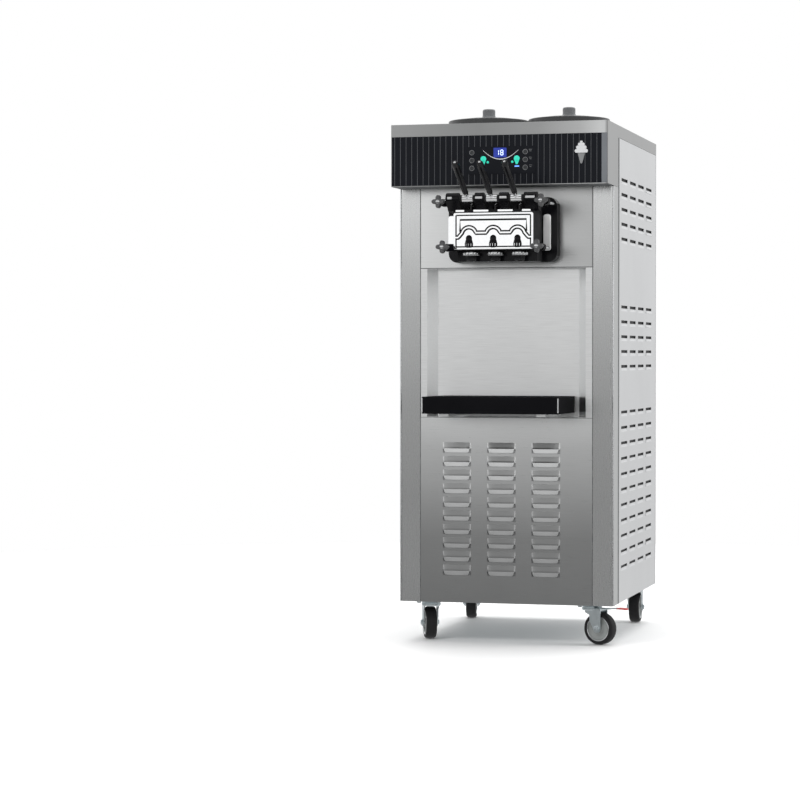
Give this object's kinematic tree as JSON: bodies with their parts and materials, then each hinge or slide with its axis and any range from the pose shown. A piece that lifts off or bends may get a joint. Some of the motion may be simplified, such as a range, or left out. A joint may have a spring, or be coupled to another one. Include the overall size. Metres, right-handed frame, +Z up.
{
  "type": "soft serve machine",
  "caption": "Floor-standing soft serve machine on casters: steel cabinet, louvred panels, lever-operated dispensing head, drip tray, round hopper lids.",
  "frame": {"origin": "on the floor, under the middle of the whole machine's box", "axes": "+Z up, -Y towards the person who serves, +X to that person's right"},
  "size_m": [0.5716, 0.9304, 1.348],
  "materials": {
    "cabinet_steel": "brushed stainless sheet",
    "inner_steel": "smooth stainless",
    "zinc_plate": "bright zinc plating",
    "chrome": "polished chrome",
    "fin_aluminium": "mill finish fins",
    "machine_paint": "satin black paint",
    "black_gloss": "glossy lined panel",
    "head_black": "glossy moulding",
    "lever_black": "satin moulding",
    "lid_black": "fine grained moulding",
    "tray_black": "satin moulding",
    "button_grey": "matt key",
    "display": "backlit display",
    "tyre": "rubber tread on a grey core"
  },
  "bodies": {
    "root": {"left_corner_post": "cabinet_steel", "right_corner_post": "cabinet_steel", "left_side_panel": "cabinet_steel", "right_side_panel": "cabinet_steel", "rear_panel": "cabinet_steel", "upper_front_panel": "cabinet_steel", "splash_panel": "cabinet_steel", "lower_louvre_panel": "cabinet_steel", "top_cover": "cabinet_steel", "base_plate": "zinc_plate", "fascia_panel": "black_gloss", "control_panel": "black_gloss", "lcd_screen": "display", "left_hopper": "inner_steel", "left_freezing_cylinder": "inner_steel", "left_gear_motor": "machine_paint", "right_hopper": "inner_steel", "right_freezing_cylinder": "inner_steel", "right_gear_motor": "machine_paint", "compressor": "machine_paint", "condenser": "fin_aluminium", "dispensing_head": "head_black", "head_front_plate": "chrome", "lever_pin": "chrome", "left_star_nozzle": "chrome", "middle_star_nozzle": "chrome", "right_star_nozzle": "chrome"},
    "left_lever": {"left_draw_lever": "lever_black"},
    "left_piston": {"left_draw_piston": "lever_black"},
    "middle_lever": {"middle_draw_lever": "lever_black"},
    "middle_piston": {"middle_draw_piston": "lever_black"},
    "right_lever": {"right_draw_lever": "lever_black"},
    "right_piston": {"right_draw_piston": "lever_black"},
    "upper_left_screw": {"upper_left_hand_screw": "lever_black"},
    "upper_right_screw": {"upper_right_hand_screw": "lever_black"},
    "lower_left_screw": {"lower_left_hand_screw": "lever_black"},
    "lower_right_screw": {"lower_right_hand_screw": "lever_black"},
    "left_lid": {"left_hopper_lid": "lid_black"},
    "right_lid": {"right_hopper_lid": "lid_black"},
    "tray": {"drip_tray": "tray_black", "drip_tray_grid": "tray_black"},
    "left_key_1": {"left_button_1": "button_grey"},
    "left_key_2": {"left_button_2": "button_grey"},
    "left_key_3": {"left_button_3": "button_grey"},
    "right_key_1": {"right_button_1": "button_grey"},
    "right_key_2": {"right_button_2": "button_grey"},
    "right_key_3": {"right_button_3": "button_grey"},
    "left_beater": {"left_dasher": "inner_steel"},
    "right_beater": {"right_dasher": "inner_steel"},
    "fan": {"condenser_fan": "machine_paint"},
    "front_left_fork": {"front_left_caster_fork": "zinc_plate"},
    "front_left_wheel": {"front_left_caster_wheel": "tyre"},
    "front_left_pedal": {"front_left_brake_pedal": "zinc_plate"},
    "front_right_fork": {"front_right_caster_fork": "zinc_plate"},
    "front_right_wheel": {"front_right_caster_wheel": "tyre"},
    "front_right_pedal": {"front_right_brake_pedal": "zinc_plate"},
    "rear_left_fork": {"rear_left_caster_fork": "zinc_plate"},
    "rear_left_wheel": {"rear_left_caster_wheel": "tyre"},
    "rear_right_fork": {"rear_right_caster_fork": "zinc_plate"},
    "rear_right_wheel": {"rear_right_caster_wheel": "tyre"}
  },
  "joints": [
    {"name": "left_lever_pull", "type": "hinge", "parent": "root", "child": "left_lever", "pos_m": [-0.0758, -0.32882, 1.092], "axis": [1, 0, 0], "range_deg": [0, 40]},
    {"name": "left_piston_lift", "type": "slide", "parent": "root", "child": "left_piston", "axis": [0, 0, 1], "range_m": [0, 0.027]},
    {"name": "middle_lever_pull", "type": "hinge", "parent": "root", "child": "middle_lever", "pos_m": [-0.0158, -0.32882, 1.092], "axis": [1, 0, 0], "range_deg": [0, 40]},
    {"name": "middle_piston_lift", "type": "slide", "parent": "root", "child": "middle_piston", "axis": [0, 0, 1], "range_m": [0, 0.027]},
    {"name": "right_lever_pull", "type": "hinge", "parent": "root", "child": "right_lever", "pos_m": [0.0442, -0.32882, 1.092], "axis": [1, 0, 0], "range_deg": [0, 40]},
    {"name": "right_piston_lift", "type": "slide", "parent": "root", "child": "right_piston", "axis": [0, 0, 1], "range_m": [0, 0.027]},
    {"name": "upper_left_screw_turn", "type": "hinge", "parent": "root", "child": "upper_left_screw", "pos_m": [-0.1418, -0.35482, 1.084], "axis": [0, 1, 0], "continuous": true},
    {"name": "upper_right_screw_turn", "type": "hinge", "parent": "root", "child": "upper_right_screw", "pos_m": [0.1102, -0.35482, 1.084], "axis": [0, 1, 0], "continuous": true},
    {"name": "lower_left_screw_turn", "type": "hinge", "parent": "root", "child": "lower_left_screw", "pos_m": [-0.1318, -0.35482, 0.975], "axis": [0, 1, 0], "continuous": true},
    {"name": "lower_right_screw_turn", "type": "hinge", "parent": "root", "child": "lower_right_screw", "pos_m": [0.1002, -0.35482, 0.975], "axis": [0, 1, 0], "continuous": true},
    {"name": "left_lid_lift", "type": "slide", "parent": "root", "child": "left_lid", "axis": [0, 0, 1], "range_m": [0, 0.12]},
    {"name": "right_lid_lift", "type": "slide", "parent": "root", "child": "right_lid", "axis": [0, 0, 1], "range_m": [0, 0.12]},
    {"name": "tray_slide", "type": "slide", "parent": "root", "child": "tray", "axis": [0, -1, 0], "range_m": [0, 0.15]},
    {"name": "left_button_1_press", "type": "slide", "parent": "root", "child": "left_key_1", "axis": [0, 1, 0], "range_m": [0, 0.001], "stiffness_N_per_m": 500},
    {"name": "left_button_2_press", "type": "slide", "parent": "root", "child": "left_key_2", "axis": [0, 1, 0], "range_m": [0, 0.001], "stiffness_N_per_m": 500},
    {"name": "left_button_3_press", "type": "slide", "parent": "root", "child": "left_key_3", "axis": [0, 1, 0], "range_m": [0, 0.001], "stiffness_N_per_m": 500},
    {"name": "right_button_1_press", "type": "slide", "parent": "root", "child": "right_key_1", "axis": [0, 1, 0], "range_m": [0, 0.001], "stiffness_N_per_m": 500},
    {"name": "right_button_2_press", "type": "slide", "parent": "root", "child": "right_key_2", "axis": [0, 1, 0], "range_m": [0, 0.001], "stiffness_N_per_m": 500},
    {"name": "right_button_3_press", "type": "slide", "parent": "root", "child": "right_key_3", "axis": [0, 1, 0], "range_m": [0, 0.001], "stiffness_N_per_m": 500},
    {"name": "left_dasher_spin", "type": "hinge", "parent": "root", "child": "left_beater", "pos_m": [-0.0778, -0.01482, 1.03], "axis": [0, 1, 0], "continuous": true},
    {"name": "right_dasher_spin", "type": "hinge", "parent": "root", "child": "right_beater", "pos_m": [0.0462, -0.01482, 1.03], "axis": [0, 1, 0], "continuous": true},
    {"name": "fan_spin", "type": "hinge", "parent": "root", "child": "fan", "pos_m": [-0.0158, -0.06282, 0.26], "axis": [0, 1, 0], "continuous": true},
    {"name": "front_left_caster_swivel", "type": "hinge", "parent": "root", "child": "front_left_fork", "pos_m": [-0.2208, -0.11482, 0.09], "axis": [0, 0, 1], "continuous": true},
    {"name": "front_left_wheel_roll", "type": "hinge", "parent": "front_left_fork", "child": "front_left_wheel", "pos_m": [-0.22979, -0.09256, 0.04], "axis": [-0.9272, -0.3746, 0], "continuous": true},
    {"name": "front_left_brake_press", "type": "hinge", "parent": "front_left_fork", "child": "front_left_pedal", "pos_m": [-0.23466, -0.08051, 0.09], "axis": [-0.9272, -0.3746, 0], "range_deg": [0, 15]},
    {"name": "front_right_caster_swivel", "type": "hinge", "parent": "root", "child": "front_right_fork", "pos_m": [0.1892, -0.11482, 0.09], "axis": [0, 0, 1], "continuous": true},
    {"name": "front_right_wheel_roll", "type": "hinge", "parent": "front_right_fork", "child": "front_right_wheel", "pos_m": [0.21202, -0.12223, 0.04], "axis": [0.309, 0.9511, 0], "continuous": true},
    {"name": "front_right_brake_press", "type": "hinge", "parent": "front_right_fork", "child": "front_right_pedal", "pos_m": [0.22439, -0.12625, 0.09], "axis": [0.309, 0.9511, 0], "range_deg": [0, 15]},
    {"name": "rear_left_caster_swivel", "type": "hinge", "parent": "root", "child": "rear_left_fork", "pos_m": [-0.2398, 0.40018, 0.09], "axis": [0, 0, 1], "continuous": true},
    {"name": "rear_left_wheel_roll", "type": "hinge", "parent": "rear_left_fork", "child": "rear_left_wheel", "pos_m": [-0.24397, 0.42382, 0.04], "axis": [-0.9848, -0.1736, 0], "continuous": true},
    {"name": "rear_right_caster_swivel", "type": "hinge", "parent": "root", "child": "rear_right_fork", "pos_m": [0.2082, 0.40018, 0.09], "axis": [0, 0, 1], "continuous": true},
    {"name": "rear_right_wheel_roll", "type": "hinge", "parent": "rear_right_fork", "child": "rear_right_wheel", "pos_m": [0.20736, 0.42417, 0.04], "axis": [-0.9994, -0.0349, 0], "continuous": true}
  ],
  "couplings": [
    {"joint": "left_piston_lift", "follows": "left_lever_pull", "m_per_rad": 0.038},
    {"joint": "middle_piston_lift", "follows": "middle_lever_pull", "m_per_rad": 0.038},
    {"joint": "right_piston_lift", "follows": "right_lever_pull", "m_per_rad": 0.038}
  ]
}
